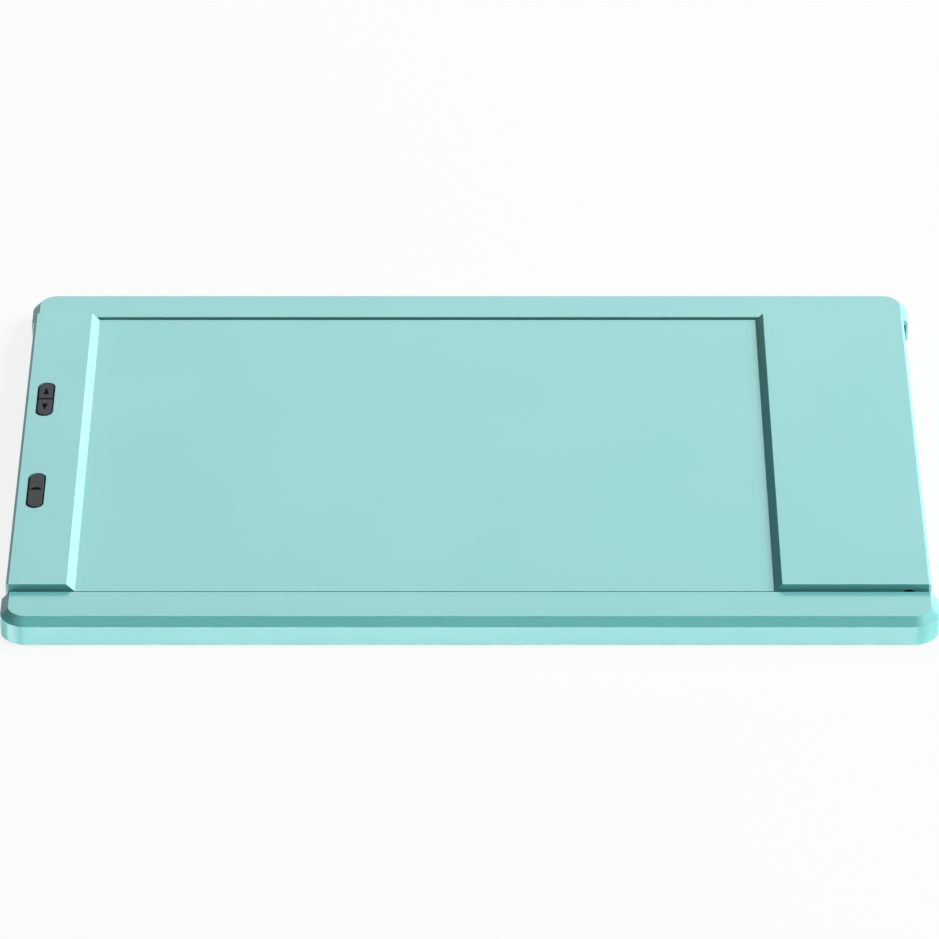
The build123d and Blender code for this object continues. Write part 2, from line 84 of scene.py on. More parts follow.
# camera at the angle from which the closed object is seen, in degrees and metres
cameraSetup = {
    "lens": 268.126, "sensor": 36.0, "elevation": 30.7477, "yaw": 0.0469, "roll": -0.0233,
    "place": (0.001637, -2.198813, 1.309954), "near": 0.05, "far": 50.0,
}


def makeCamera():
    data = bpy.data.cameras.new("camera")
    data.lens = cameraSetup["lens"]
    data.sensor_width = cameraSetup["sensor"]
    data.clip_start = cameraSetup["near"]
    data.clip_end = cameraSetup["far"]
    camera = bpy.data.objects.new("camera", data)
    turn = Matrix.Rotation(math.radians(cameraSetup["yaw"]), 4, "Z")
    tilt = Matrix.Rotation(math.radians(90.0 - cameraSetup["elevation"]), 4, "X")
    roll = Matrix.Rotation(math.radians(cameraSetup["roll"]), 4, "Z")
    camera.matrix_world = Matrix.Translation(cameraSetup["place"]) @ turn @ tilt @ roll
    scene.collection.objects.link(camera)
    scene.camera = camera


makeCamera()
scene.view_settings.view_transform = "Standard"
print("camera placed")

# soft studio lamps around a light table: place and size in metres, power in watts
lamps = {
    "rightWindow": {"place": (5.5, 0.4, 4.0), "size": (4.1, 3.3), "power": 338.0, "sheen": False},
    "rightSky": {"place": (3.8, 0.6, 3.7), "size": (2.6, 2.4), "power": 106.0, "sheen": False},
    "frontRightFill": {"place": (3.4, -1.6, 3.1), "size": (2.4, 2.4), "power": 44.0},
    "frontFill": {"place": (0.4, -4.6, 2.1), "size": (3.0, 1.0), "power": 13.0},
    "backBand": {"place": (0.0, 2.7, 1.62), "size": (2.4, 0.7), "power": 17.4},
    "backRightStrip": {"place": (1.3, 2.1, 0.2), "size": (1.0, 0.3), "power": 6.6},
    "underTableFront": {"place": (0.0, -1.35, -0.8), "size": (1.3, 0.24), "power": 10.2},
    "underTableLeft": {"place": (-1.25, -0.6, -0.8), "size": (1.2, 0.24), "power": 9.5},
    "underTableRight": {"place": (1.25, -0.6, -0.8), "size": (1.2, 0.24), "power": 2.5},
}


def makeLamp(name, setup):
    data = bpy.data.lights.new(name, "AREA")
    data.shape = "RECTANGLE"
    data.size, data.size_y = setup["size"]
    data.energy = setup["power"]
    aboveTable = setup["place"][2] > 0.0
    data.cycles.use_multiple_importance_sampling = aboveTable  # only shadow rays pass the table
    lamp = bpy.data.objects.new(name, data)
    lamp.location = setup["place"]
    lamp.rotation_euler = (-Vector(setup["place"])).to_track_quat("-Z", "Y").to_euler()
    lamp.visible_camera = False
    lamp.visible_glossy = setup.get("sheen", True)
    scene.collection.objects.link(lamp)


for lampName, lampSetup in lamps.items():
    makeLamp(lampName, lampSetup)

# the background is white to the eye and through glass; in sheens it is white towards the
# window and fades to the dark side of the studio
worldSetup = {
    "ambient": 0.04, "seen": 1.0, "colour": "#ffffff", "windowSide": (1.0, 0.4, 0.0),
    "fadeFrom": -0.05, "fadeTo": 0.3,
}


def makeWorld():
    world = bpy.data.worlds.new("studio")
    world.use_nodes = True
    tree = world.node_tree
    tree.nodes.clear()
    path = addNode(tree, "ShaderNodeLightPath")
    seen = addNode(tree, "ShaderNodeMath", {"operation": "MAXIMUM"},
                   {0: path.outputs["Is Camera Ray"], 1: path.outputs["Is Transmission Ray"]})
    place = addNode(tree, "ShaderNodeTexCoord")
    towards = addNode(tree, "ShaderNodeVectorMath",
                      {"operation": "DOT_PRODUCT", 1: worldSetup["windowSide"]},
                      {0: place.outputs["Generated"]})
    fade = addNode(tree, "ShaderNodeMapRange",
                   {"From Min": worldSetup["fadeFrom"], "From Max": worldSetup["fadeTo"]},
                   {"Value": towards.outputs["Value"]})
    sheen = addNode(tree, "ShaderNodeMath", {"operation": "MULTIPLY"},
                    {0: path.outputs["Is Glossy Ray"], 1: fade.outputs["Result"]})
    shown = addNode(tree, "ShaderNodeMath", {"operation": "MAXIMUM"},
                    {0: seen.outputs[0], 1: sheen.outputs[0]})
    white = hexColour(worldSetup["colour"])
    ambient = addNode(tree, "ShaderNodeBackground", {"Color": white, "Strength": worldSetup["ambient"]})
    backdrop = addNode(tree, "ShaderNodeBackground", {"Color": white, "Strength": worldSetup["seen"]})
    mix = addNode(tree, "ShaderNodeMixShader",
                  links={0: shown.outputs[0], 1: ambient.outputs[0], 2: backdrop.outputs[0]})
    addNode(tree, "ShaderNodeOutputWorld", links={"Surface": mix.outputs[0]})
    scene.world = world


makeWorld()

# a light table: white acrylic that lets the lamps below through and is clear from underneath
tableSetup = {"size": 6.0, "colour": "#f2f2f2", "seenWhite": 0.86}


def makeTable():
    half = tableSetup["size"] / 2
    mesh = bpy.data.meshes.new("light_table")
    corners = [(-half, -half, 0.0), (half, -half, 0.0), (half, half, 0.0), (-half, half, 0.0)]
    mesh.from_pydata(corners, [], [(0, 1, 2, 3)])
    table = bpy.data.objects.new("light_table", mesh)
    scene.collection.objects.link(table)
    material = bpy.data.materials.new("white acrylic light table")
    material.use_nodes = True
    tree = material.node_tree
    tree.nodes.clear()
    path = addNode(tree, "ShaderNodeLightPath")
    side = addNode(tree, "ShaderNodeNewGeometry")
    acrylic = addNode(tree, "ShaderNodeBsdfDiffuse", {"Color": hexColour(tableSetup["colour"])})
    white = addNode(tree, "ShaderNodeEmission", {"Color": hexColour("#ffffff"), "Strength": 1.0})
    watched = addNode(tree, "ShaderNodeMath", {"operation": "MAXIMUM"},
                      {0: path.outputs["Is Camera Ray"], 1: path.outputs["Is Transmission Ray"]})
    shown = addNode(tree, "ShaderNodeMath", {"operation": "MAXIMUM"},
                    {0: watched.outputs[0], 1: path.outputs["Is Glossy Ray"]})
    share = addNode(tree, "ShaderNodeMath", {"operation": "MULTIPLY", 1: tableSetup["seenWhite"]},
                    {0: shown.outputs[0]})
    seen = addNode(tree, "ShaderNodeMixShader",
                   links={0: share.outputs[0], 1: acrylic.outputs[0], 2: white.outputs[0]})
    below = addNode(tree, "ShaderNodeMath", {"operation": "MULTIPLY"},
                    {0: side.outputs["Backfacing"], 1: path.outputs["Is Camera Ray"]})
    clearFor = addNode(tree, "ShaderNodeMath", {"operation": "MAXIMUM"},
                       {0: below.outputs[0], 1: path.outputs["Is Shadow Ray"]})
    clear = addNode(tree, "ShaderNodeBsdfTransparent")
    mix = addNode(tree, "ShaderNodeMixShader",
                  links={0: clearFor.outputs[0], 1: seen.outputs[0], 2: clear.outputs[0]})
    addNode(tree, "ShaderNodeOutputMaterial", links={"Surface": mix.outputs[0]})
    mesh.materials.append(material)


makeTable()
print("lamps, world and light table made")

# how strongly each kind of skin tilts the light, and how far its roughness wanders
skinBump = {"moulded": 0.5, "coated": 0.6, "worked": 0.5, "glass": 0.4, "board": 0.4, "film": 0.4}
roughSpread = {"moulded": 0.03, "worked": 0.05}

# Plastics, ink and rubber, with sizes in mm. Real grain on these skins is 0.1 mm or finer; it is
# drawn two to twelve times coarser so that it shows.

# moulded ABS with a spark-eroded skin: an even pastel with a soft, broad sheen
tealAbs = {
    "name": "moulded teal ABS", "tone": "#73c6c4", "roughness": 0.32, "ior": 1.53,
    "mottle": 45.0, "mottleShare": 0.012, "grain": 0.45, "grainHeight": 0.006,
}
# matte ABS of the keys: dark grey, a little smoother where fingers rub
keyAbs = {
    "name": "matte charcoal ABS", "tone": "#2d3035", "roughness": 0.66, "ior": 1.5,
    "mottle": 6.0, "mottleShare": 0.05, "grain": 0.3, "grainHeight": 0.004,
}
# soot-black ink: the film of the printed triangle marks, and also the painted shade in the power key's
# scoop; it drinks the light, with hardly any sheen of its own
markInkAndScoopShade = {
    "name": "soot-black print and painted scoop shade", "tone": "#050506", "roughness": 0.8, "ior": 1.15,
    "mottle": 2.0, "mottleShare": 0.1, "grain": 0.2, "grainHeight": 0.003,
}
# black ABS bezel with a fine etched skin that hides fingerprints
bezelAbs = {
    "name": "etched black ABS", "tone": "#17181a", "roughness": 0.55, "ior": 1.53,
    "mottle": 20.0, "mottleShare": 0.04, "grain": 0.4, "grainHeight": 0.012,
}
# white polycarbonate tray of the backlight: clean, faintly glossy
trayPc = {
    "name": "moulded white polycarbonate", "tone": "#e6e6e2", "roughness": 0.3, "ior": 1.58,
    "mottle": 30.0, "mottleShare": 0.01, "grain": 1.2, "grainHeight": 0.002,
}
# acetal liners: waxy off-white with faint running marks
linerAcetal = {
    "name": "milled white acetal", "tone": "#e9e7df", "roughness": 0.32, "ior": 1.48,
    "mottle": 12.0, "mottleShare": 0.02, "grain": 0.8, "grainHeight": 0.004,
}
# rubber bumpers: dull, slightly dusty black
bumperRubber = {
    "name": "moulded black rubber", "tone": "#1d1d1e", "roughness": 0.82, "ior": 1.52,
    "mottle": 3.0, "mottleShare": 0.12, "grain": 0.35, "grainHeight": 0.015,
}
# component cases: filled epoxy, matte with a fine speckle
caseEpoxy = {
    "name": "moulded black epoxy", "tone": "#202123", "roughness": 0.62, "ior": 1.55,
    "mottle": 0.5, "mottleShare": 0.12, "grain": 0.2, "grainHeight": 0.006,
}


def mouldedPlastic(finish):
    material, tree, shader = startMaterial(finish["name"], {"IOR": finish["ior"]})
    place = addNode(tree, "ShaderNodeTexCoord")
    mottle = addNode(tree, "ShaderNodeTexNoise", {"Scale": perMm(finish["mottle"]), "Detail": 2.0},
                     {"Vector": place.outputs["Object"]})
    share = finish["mottleShare"]
    shade = addNode(tree, "ShaderNodeMapRange", {"To Min": 1.0 - share, "To Max": 1.0 + share},
                    {"Value": mottle.outputs["Fac"]})
    tone = addNode(tree, "ShaderNodeMix",
                   {"data_type": "RGBA", "blend_type": "MULTIPLY", mixShare: 1.0,
                    mixFirst: hexColour(finish["tone"])},
                   {mixSecond: shade.outputs["Result"]})
    tree.links.new(tone.outputs[mixResult], shader.inputs["Base Color"])
    rub = addNode(tree, "ShaderNodeMapRange",
                  {"To Min": finish["roughness"] - roughSpread["moulded"],
                   "To Max": finish["roughness"] + roughSpread["moulded"]},
                  {"Value": mottle.outputs["Fac"]})
    tree.links.new(rub.outputs["Result"], shader.inputs["Roughness"])
    grain = addNode(tree, "ShaderNodeTexNoise", {"Scale": perMm(finish["grain"]), "Detail": 3.0},
                    {"Vector": place.outputs["Object"]})
    bump = addNode(tree, "ShaderNodeBump",
                   {"Strength": skinBump["moulded"], "Distance": mm(finish["grainHeight"])},
                   {"Height": grain.outputs["Fac"]})
    tree.links.new(bump.outputs["Normal"], shader.inputs["Normal"])
    return material


# powder-coated sheet: the shells' teal with the low swells of a baked coat and fine pigment
# specks. Real specks are 0.05 mm; they are drawn at 0.5 mm so that they show.
tealCoat = {
    "tone": "#73c6c4", "speck": "#62b4b2", "speckSize": 0.5, "speckShare": 0.62, "speckBlur": 0.1,
    "roughness": 0.46, "ior": 1.5, "swell": 1.6, "swellHeight": 0.02,
}


def powderCoat(finish):
    material, tree, shader = startMaterial(
        "teal powder coat", {"Roughness": finish["roughness"], "IOR": finish["ior"]})
    place = addNode(tree, "ShaderNodeTexCoord")
    specks = addNode(tree, "ShaderNodeTexNoise", {"Scale": perMm(finish["speckSize"]), "Detail": 1.0},
                     {"Vector": place.outputs["Object"]})
    edge = addNode(tree, "ShaderNodeMapRange",
                   {"From Min": finish["speckShare"],
                    "From Max": finish["speckShare"] + finish["speckBlur"]},
                   {"Value": specks.outputs["Fac"]})
    tone = addNode(tree, "ShaderNodeMix",
                   {"data_type": "RGBA", mixFirst: hexColour(finish["tone"]),
                    mixSecond: hexColour(finish["speck"])},
                   {mixShare: edge.outputs["Result"]})
    tree.links.new(tone.outputs[mixResult], shader.inputs["Base Color"])
    swells = addNode(tree, "ShaderNodeTexNoise", {"Scale": perMm(finish["swell"]), "Detail": 1.0},
                     {"Vector": place.outputs["Object"]})
    bump = addNode(tree, "ShaderNodeBump",
                   {"Strength": skinBump["coated"], "Distance": mm(finish["swellHeight"])},
                   {"Height": swells.outputs["Fac"]})
    tree.links.new(bump.outputs["Normal"], shader.inputs["Normal"])
    return material


# metals: two tones, tool lines as (along X, along Y, along Z) sizes in mm, and their height.
# Real tool lines are 0.05 mm apart; they are drawn 0.2 to 0.4 mm apart so that they show.
trackAluminium = {  # extruded and anodised: satin grey, die lines along the rail
    "name": "anodised aluminium", "light": "#c9cbce", "dark": "#aeb1b5", "roughness": 0.38,
    "lines": (60.0, 0.4, 0.4), "lineHeight": 0.008,
}
sliderSteel = {  # milled blocks: brighter, short cutter lines
    "name": "milled steel", "light": "#b9babd", "dark": "#8d8f93", "roughness": 0.3,
    "lines": (0.3, 6.0, 0.3), "lineHeight": 0.01,
}
pinSteel = {  # ground pins: bright, with rings around them
    "name": "ground steel", "light": "#d6d7d9", "dark": "#b4b6b9", "roughness": 0.18,
    "lines": (5.0, 0.2, 5.0), "lineHeight": 0.003,
}
screwZinc = {  # zinc-plated screws: bluish with faint yellow clouds
    "name": "zinc-plated steel", "light": "#c6cad0", "dark": "#b5b29c", "roughness": 0.28,
    "lines": (1.2, 1.2, 1.2), "lineHeight": 0.004,
}
hingeOxide = {  # hinge barrels: oiled black oxide, dark with a dull lustre
    "name": "black oxide steel", "light": "#3a393a", "dark": "#242325", "roughness": 0.42,
    "lines": (2.5, 0.3, 2.5), "lineHeight": 0.005,
}
latchSteel = {  # latch discs: bare cold-rolled steel with rolling lines
    "name": "cold-rolled steel", "light": "#bcbdbf", "dark": "#97999d", "roughness": 0.34,
    "lines": (8.0, 0.25, 0.25), "lineHeight": 0.005,
}
magnetNickel = {  # magnets: bright warm nickel plate
    "name": "nickel plate", "light": "#cfcabf", "dark": "#bdb8ad", "roughness": 0.16,
    "lines": (1.5, 1.5, 1.5), "lineHeight": 0.002,
}
portSteel = {  # port shells and switch cans: deep-drawn steel, tin-plated, soft reflections
    "name": "drawn tin-plated steel", "light": "#c4c5c6", "dark": "#a9abad", "roughness": 0.26,
    "lines": (4.0, 0.3, 0.3), "lineHeight": 0.003,
}
contactGold = {  # contacts: thin selective gold over nickel
    "name": "gold-plated contacts", "light": "#e3c06a", "dark": "#cfa54b", "roughness": 0.2,
    "lines": (1.0, 0.2, 0.2), "lineHeight": 0.002,
}


def workedMetal(finish):
    material, tree, shader = startMaterial(finish["name"], {"Metallic": 1.0})
    place = addNode(tree, "ShaderNodeTexCoord")
    stretch = addNode(tree, "ShaderNodeMapping", {"Scale": [perMm(size) for size in finish["lines"]]},
                      {"Vector": place.outputs["Object"]})
    lines = addNode(tree, "ShaderNodeTexNoise", {"Scale": 1.0, "Detail": 3.0},
                    {"Vector": stretch.outputs["Vector"]})
    tone = addNode(tree, "ShaderNodeMix",
                   {"data_type": "RGBA", mixFirst: hexColour(finish["dark"]),
                    mixSecond: hexColour(finish["light"])},
                   {mixShare: lines.outputs["Fac"]})
    tree.links.new(tone.outputs[mixResult], shader.inputs["Base Color"])
    dull = addNode(tree, "ShaderNodeMapRange",
                   {"To Min": finish["roughness"] - roughSpread["worked"],
                    "To Max": finish["roughness"] + roughSpread["worked"]},
                   {"Value": lines.outputs["Fac"]})
    tree.links.new(dull.outputs["Result"], shader.inputs["Roughness"])
    bump = addNode(tree, "ShaderNodeBump",
                   {"Strength": skinBump["worked"], "Distance": mm(finish["lineHeight"])},
                   {"Height": lines.outputs["Fac"]})
    tree.links.new(bump.outputs["Normal"], shader.inputs["Normal"])
    return material


# display cell: etched anti-glare glass, near black, with a black printed border round the
# picture area. Real etch pits are 0.02 mm; they are drawn at 0.35 mm so that they show.
displayGlass = {
    "border": "#08090a", "picture": "#101216", "roughness": 0.24, "ior": 1.52,
    "middle": (-8.1, 0.0), "half": (146.9, 82.65), "sparkle": 0.35, "sparkleHeight": 0.004,
}


def antiGlareGlass(finish):
    material, tree, shader = startMaterial(
        "etched display glass", {"Roughness": finish["roughness"], "IOR": finish["ior"]})
    place = addNode(tree, "ShaderNodeTexCoord")
    axes = addNode(tree, "ShaderNodeSeparateXYZ", links={"Vector": place.outputs["Object"]})
    inside = []
    for axis, middle, half in zip("XY", finish["middle"], finish["half"]):
        reach = addNode(tree, "ShaderNodeMath", {"operation": "COMPARE", 1: mm(middle), 2: mm(half)},
                        {0: axes.outputs[axis]})
        inside.append(reach.outputs[0])
    both = addNode(tree, "ShaderNodeMath", {"operation": "MULTIPLY"}, {0: inside[0], 1: inside[1]})
    tone = addNode(tree, "ShaderNodeMix",
                   {"data_type": "RGBA", mixFirst: hexColour(finish["border"]),
                    mixSecond: hexColour(finish["picture"])},
                   {mixShare: both.outputs[0]})
    tree.links.new(tone.outputs[mixResult], shader.inputs["Base Color"])
    sparkle = addNode(tree, "ShaderNodeTexNoise", {"Scale": perMm(finish["sparkle"]), "Detail": 2.0},
                      {"Vector": place.outputs["Object"]})
    bump = addNode(tree, "ShaderNodeBump",
                   {"Strength": skinBump["glass"], "Distance": mm(finish["sparkleHeight"])},
                   {"Height": sparkle.outputs["Fac"]})
    tree.links.new(bump.outputs["Normal"], shader.inputs["Normal"])
    return material


# circuit boards: green solder mask over copper tracks, tinned vias showing through. Real tracks
# lie 0.3 mm apart; they are drawn 0.9 mm apart so that they show.
circuitBoard = {
    "mask": "#0f5c38", "track": "#1c7f4d", "via": "#c9b77c", "roughness": 0.3, "ior": 1.5,
    "trackGap": 0.9, "trackRun": 5.5, "trackWidth": 0.18, "trackHeight": 0.03,
    "viaSpacing": 5.0, "viaRadius": 0.07,
}


def maskedBoard(finish):
    material, tree, shader = startMaterial(
        "green solder mask", {"Roughness": finish["roughness"], "IOR": finish["ior"]})
    place = addNode(tree, "ShaderNodeTexCoord")
    tracks = addNode(tree, "ShaderNodeTexBrick",
                     {"Scale": perMm(1.0), "Brick Width": finish["trackRun"],
                      "Row Height": finish["trackGap"], "Mortar Size": finish["trackWidth"] / 2,
                      "Color1": hexColour(finish["mask"]), "Color2": hexColour(finish["mask"]),
                      "Mortar": hexColour(finish["track"])},
                     {"Vector": place.outputs["Object"]})
    vias = addNode(tree, "ShaderNodeTexVoronoi", {"Scale": perMm(finish["viaSpacing"])},
                   {"Vector": place.outputs["Object"]})
    dots = addNode(tree, "ShaderNodeMath", {"operation": "LESS_THAN", 1: finish["viaRadius"]},
                   {0: vias.outputs["Distance"]})
    tone = addNode(tree, "ShaderNodeMix", {"data_type": "RGBA", mixSecond: hexColour(finish["via"])},
                   {mixShare: dots.outputs[0], mixFirst: tracks.outputs["Color"]})
    tree.links.new(tone.outputs[mixResult], shader.inputs["Base Color"])
    tree.links.new(dots.outputs[0], shader.inputs["Metallic"])
    bump = addNode(tree, "ShaderNodeBump",
                   {"Strength": skinBump["board"], "Distance": mm(finish["trackHeight"])},
                   {"Height": tracks.outputs["Fac"]})
    tree.links.new(bump.outputs["Normal"], shader.inputs["Normal"])
    return material


# flat cables: amber polyimide film with copper conductors along it, 1 mm apart
flatCircuit = {
    "film": "#b98238", "copper": "#96602a", "roughness": 0.28, "ior": 1.6, "pitch": 1.0,
    "traceHeight": 0.03,
}
wavesPerTurn = 20.0  # a wave texture of scale one repeats every 2 pi / 20


def polyimideFilm(finish):
    material, tree, shader = startMaterial(
        "polyimide flat cable", {"Roughness": finish["roughness"], "IOR": finish["ior"]})
    place = addNode(tree, "ShaderNodeTexCoord")
    waveScale = perMm(finish["pitch"]) * 2 * math.pi / wavesPerTurn
    stripes = addNode(tree, "ShaderNodeTexWave", {"bands_direction": "Y", "Scale": waveScale},
                      {"Vector": place.outputs["Object"]})
    tone = addNode(tree, "ShaderNodeMix",
                   {"data_type": "RGBA", mixFirst: hexColour(finish["film"]),
                    mixSecond: hexColour(finish["copper"])},
                   {mixShare: stripes.outputs["Fac"]})
    tree.links.new(tone.outputs[mixResult], shader.inputs["Base Color"])
    bump = addNode(tree, "ShaderNodeBump",
                   {"Strength": skinBump["film"], "Distance": mm(finish["traceHeight"])},
                   {"Height": stripes.outputs["Fac"]})
    tree.links.new(bump.outputs["Normal"], shader.inputs["Normal"])
    return material


materialOf = {
    "teal_shell": mouldedPlastic(tealAbs), "teal_sheet": powderCoat(tealCoat),
    "bezel": mouldedPlastic(bezelAbs), "display_glass": antiGlareGlass(displayGlass),
    "light_guide": mouldedPlastic(trayPc), "key": mouldedPlastic(keyAbs),
    "track": workedMetal(trackAluminium), "liner": mouldedPlastic(linerAcetal),
    "slider": workedMetal(sliderSteel), "pin": workedMetal(pinSteel), "screw": workedMetal(screwZinc),
    "hinge_steel": workedMetal(hingeOxide), "latch_steel": workedMetal(latchSteel),
    "magnet": workedMetal(magnetNickel), "bumper": mouldedPlastic(bumperRubber),
    "board": maskedBoard(circuitBoard), "chip": mouldedPlastic(caseEpoxy),
    "port": workedMetal(portSteel), "flat_cable": polyimideFilm(flatCircuit),
}
materialOf["switch"] = materialOf["port"]
# one soot-black material: real print on the triangles, painted shade in the power key's scoop
inkAndScoopShade = mouldedPlastic(markInkAndScoopShade)
gold = workedMetal(contactGold)

slotOf = {}
for part in frame["record"]["subparts"]:
    slotOf[part["node"]] = part["material_slot"]
for nodeName, node in nodes.items():
    node.data.materials.clear()
    node.data.materials.append(materialOf[slotOf[nodeName]])
print("materials made:", len(materialOf))


def putPiece(name, mesh, body, material, replaced=None):
    piece = bpy.data.objects.new(name, mesh)
    mesh.materials.clear()
    mesh.materials.append(material)
    scene.collection.objects.link(piece)
    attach(piece, body)
    if replaced:
        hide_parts(replaced)
    return piece


sharpAngle = 30.0  # degrees; only edges sharper than this are rounded


def smoothEdges(piece, radius, rings):
    rounding = piece.modifiers.new("edge rounding", "BEVEL")
    rounding.width = mm(radius)
    rounding.segments = rings
    rounding.limit_method = "ANGLE"
    rounding.angle_limit = math.radians(sharpAngle)
    rounding.use_clamp_overlap = True
    shading = piece.modifiers.new("even shading", "WEIGHTED_NORMAL")
    shading.keep_sharp = True


def skinBetween(shape, first, second):
    count = len(first)
    for i in range(count):
        j = (i + 1) % count
        shape.faces.new((first[i], first[j], second[j], second[i])).smooth = True


def meshFrom(shape, name):
    bmesh.ops.recalc_face_normals(shape, faces=shape.faces)
    mesh = bpy.data.meshes.new(name)
    shape.to_mesh(mesh)
    shape.free()
    return mesh


# mould and press radii on the outer edges of the shells, in mm
edgeRounds = {
    "back_shell": {"body": "monitor", "radius": 0.22, "rings": 2},
    "near_rail_cover": {"body": "frame", "radius": 0.22, "rings": 2},
    "far_rail_cover": {"body": "frame", "radius": 0.22, "rings": 2},
    "base_plate": {"body": "frame", "radius": 0.1, "rings": 1},
    "front_bezel": {"body": "monitor", "radius": 0.12, "rings": 2},
    "brightness_up_key": {"body": "brightness_up", "radius": 0.06, "rings": 1},
    "brightness_down_key": {"body": "brightness_down", "radius": 0.06, "rings": 1},
    "power_key": {"body": "power", "radius": 0.06, "rings": 1},
}
weldDistance = 0.001  # mm
flatAngle = 0.5  # degrees


def roundShell(nodeName, setup):
    mesh = bpy.data.meshes.new(nodeName + "_moulding")
    shell = bmesh.new()
    shell.from_mesh(nodes[nodeName].data)
    bmesh.ops.remove_doubles(shell, verts=shell.verts, dist=mm(weldDistance))
    flat = math.radians(flatAngle)
    bmesh.ops.dissolve_limit(shell, angle_limit=flat, verts=shell.verts, edges=shell.edges)
    for face in shell.faces:
        face.smooth = True
    shell.to_mesh(mesh)
    shell.free()
    if "custom_normal" in mesh.attributes:
        mesh.attributes.remove(mesh.attributes["custom_normal"])
    slot = slotOf[nodeName]
    piece = putPiece(nodeName + "_moulding", mesh, setup["body"], materialOf[slot], nodeName)
    smoothEdges(piece, setup["radius"], setup["rings"])


for shellName, shellSetup in edgeRounds.items():
    roundShell(shellName, shellSetup)
print("shell edges rounded:", len(edgeRounds))

# ink-filled marks of the keys, in mm: triangles with their tips away from the split; and painted shade,
# a black crescent against the far wall of the power key's nail scoop standing in for its shadow
keyMarksAndScoopShade = {
    "keyX": -156.7, "middleY": 32.8, "offset": 5.8, "width": 2.2, "height": 4.65, "floor": 12.6,
    "thickness": 0.04, "edge": 0.015, "edgeRings": 1,
    "powerY": -32.7, "scoopTop": 12.8, "scoopRadius": 1.96, "scoopTilt": 22.0, "crescentFrom": 12.0,
    "crescentWidth": 1.3, "crescentTip": 0.15, "crescentDrop": 0.06, "film": 0.02, "steps": 16,
}


def inkAndShadePiece(name, shape, body):
    return putPiece(name, meshFrom(shape, name), body, inkAndScoopShade)


def triangleMark(name, tip, body):
    x, halfWidth, z = keyMarksAndScoopShade["keyX"], keyMarksAndScoopShade["width"] / 2, keyMarksAndScoopShade["floor"]
    baseY = keyMarksAndScoopShade["middleY"] + tip * (keyMarksAndScoopShade["offset"] - keyMarksAndScoopShade["height"] / 2)
    tipY = baseY + tip * keyMarksAndScoopShade["height"]
    shape = bmesh.new()
    outline = ((x - halfWidth, baseY), (x + halfWidth, baseY), (x, tipY))
    face = shape.faces.new([shape.verts.new((mm(px), mm(py), mm(z))) for px, py in outline])
    lifted = bmesh.ops.extrude_face_region(shape, geom=[face])["geom"]
    raised = [item for item in lifted if isinstance(item, bmesh.types.BMVert)]
    bmesh.ops.translate(shape, vec=(0, 0, mm(keyMarksAndScoopShade["thickness"])), verts=raised)
    smoothEdges(inkAndShadePiece(name, shape, body), keyMarksAndScoopShade["edge"], keyMarksAndScoopShade["edgeRings"])


def scoopPoint(across, along, height=None):
    tilt = math.radians(keyMarksAndScoopShade["scoopTilt"])
    y = keyMarksAndScoopShade["powerY"] + along * math.cos(tilt)
    z = keyMarksAndScoopShade["scoopTop"] - along * math.sin(tilt) if height is None else height
    return mm(keyMarksAndScoopShade["keyX"] + across), mm(y), mm(z)


# a black film up the scoop's far wall and over the deep end of its floor: painted shade for the scoop's
# shadow, not print
def scoopShadeCrescent(name, body):
    shape = bmesh.new()
    radius, start, steps = keyMarksAndScoopShade["scoopRadius"], keyMarksAndScoopShade["crescentFrom"], keyMarksAndScoopShade["steps"]
    top = keyMarksAndScoopShade["scoopTop"] - keyMarksAndScoopShade["crescentDrop"]
    sections = []
    for i in range(steps + 1):
        angle = math.radians(start + (180.0 - 2 * start) * i / steps)
        across, along = radius * math.cos(angle), radius * math.sin(angle)
        reach = keyMarksAndScoopShade["crescentTip"] + keyMarksAndScoopShade["crescentWidth"] * math.sin(math.pi * i / steps)
        low, rim = scoopPoint(across, along), scoopPoint(across, along, top)
        toe = scoopPoint(across, along - reach)
        toeTop = (toe[0], toe[1], toe[2] + mm(keyMarksAndScoopShade["film"]))
        sections.append([shape.verts.new(point) for point in (low, rim, toeTop, toe)])
    for first, second in zip(sections, sections[1:]):
        skinBetween(shape, first, second)
    shape.faces.new(sections[0])
    shape.faces.new(sections[-1])
    inkAndShadePiece(name, shape, body)


triangleMark("brightness_up_mark", 1, "brightness_up")
triangleMark("brightness_down_mark", -1, "brightness_down")
scoopShadeCrescent("power_scoop_painted_shade", "power")
print("key marks made")

# countersunk cross-recess screws of the base, in mm
baseScrew = {
    "count": 6, "firstX": -148.4, "spacing": 59.36, "rowY": 112.65,
    "headRadius": 1.8, "headHeight": 0.7, "shankRadius": 0.9, "length": 6.0, "threadDepth": 0.12,
    "threadPitch": 0.6, "edge": 0.08,
    "crossReach": 1.05, "crossHalfWidth": 0.22, "crossDepth": 0.5, "crossTaper": 0.55, "steps": 32,
}


